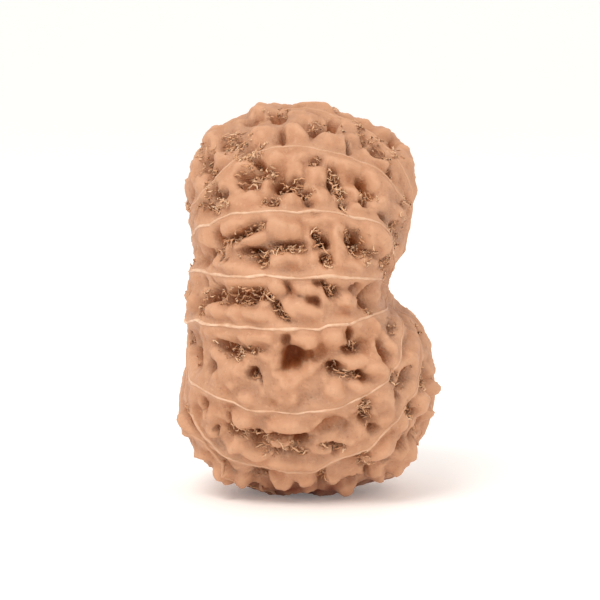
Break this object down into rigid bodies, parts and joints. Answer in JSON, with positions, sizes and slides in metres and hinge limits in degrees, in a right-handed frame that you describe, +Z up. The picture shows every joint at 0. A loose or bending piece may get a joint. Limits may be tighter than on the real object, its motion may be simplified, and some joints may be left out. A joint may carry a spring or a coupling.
{
  "type": "rudraksha seed",
  "caption": "Whole rudraksha seed standing on its narrower end: a knobbly, pitted woody stone with thin raised lines that run from one stem end to the other.",
  "frame": {"origin": "centre of the seed's footprint, on the plane it rests on", "axes": "+Z up along the seed's long way, +X to the right as the front is seen, which is the side with the notch; -Y is the front"},
  "size_m": [0.0224, 0.0254, 0.0333],
  "materials": {
    "seed": "satin"
  },
  "bodies": {
    "root": {"seed": "seed"}
  },
  "joints": []
}
